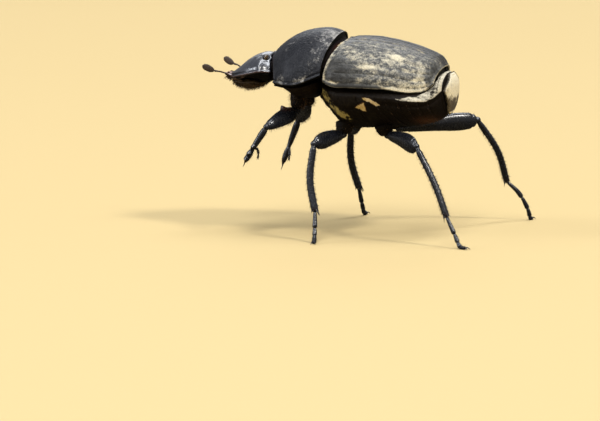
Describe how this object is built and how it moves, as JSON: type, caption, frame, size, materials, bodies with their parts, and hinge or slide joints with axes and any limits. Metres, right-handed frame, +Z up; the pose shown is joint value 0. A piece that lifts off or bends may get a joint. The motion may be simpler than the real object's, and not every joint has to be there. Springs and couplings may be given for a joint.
{
  "type": "dung beetle",
  "caption": "A life-size dung beetle standing high on its middle and hind legs with its forelegs raised, one rigid model, facing minus X.",
  "frame": {"origin": "On the floor under the middle of the bounding box, feelers and feet included.", "axes": "+Z is up, the head faces -X, the beetle's left side is -Y, and its length from feelers to hind feet lies along X."},
  "size_m": [0.0206, 0.0161, 0.0136],
  "materials": {
    "head": "satin dark blue-black horn",
    "eye": "glossy amber-brown",
    "feeler": "matt brown",
    "mouth": "matt dark brown, bristly",
    "pronotum": "satin, fine-grained blue-black, lightly dusty",
    "elytron": "satin, fine-grained grey-blue, dusted tan",
    "membrane": "soft red-brown skin",
    "underside": "satin brown-black",
    "pygidium": "matt, coated with pale dust",
    "leg": "satin blue-black"
  },
  "bodies": {
    "root": {"head": "head", "mouthparts": "mouth", "pronotum": "pronotum", "waist_membrane": "membrane", "prothorax": "underside", "pterothorax": "underside", "elytron_left": "elytron", "elytron_right": "elytron", "abdomen": "underside", "pygidium": "pygidium", "eye_left": "eye", "antenna_stalk_left": "feeler", "antenna_club_left": "feeler", "fore_coxa_left": "underside", "fore_femur_left": "leg", "fore_tibia_left": "leg", "fore_tarsus_left": "leg", "mid_coxa_left": "underside", "mid_femur_left": "leg", "mid_tibia_left": "leg", "mid_tarsus_left": "leg", "hind_coxa_left": "underside", "hind_femur_left": "leg", "hind_tibia_left": "leg", "hind_tarsus_left": "leg", "eye_right": "eye", "antenna_stalk_right": "feeler", "antenna_club_right": "feeler", "fore_coxa_right": "underside", "fore_femur_right": "leg", "fore_tibia_right": "leg", "fore_tarsus_right": "leg", "mid_coxa_right": "underside", "mid_femur_right": "leg", "mid_tibia_right": "leg", "mid_tarsus_right": "leg", "hind_coxa_right": "underside", "hind_femur_right": "leg", "hind_tibia_right": "leg", "hind_tarsus_right": "leg"}
  },
  "joints": []
}
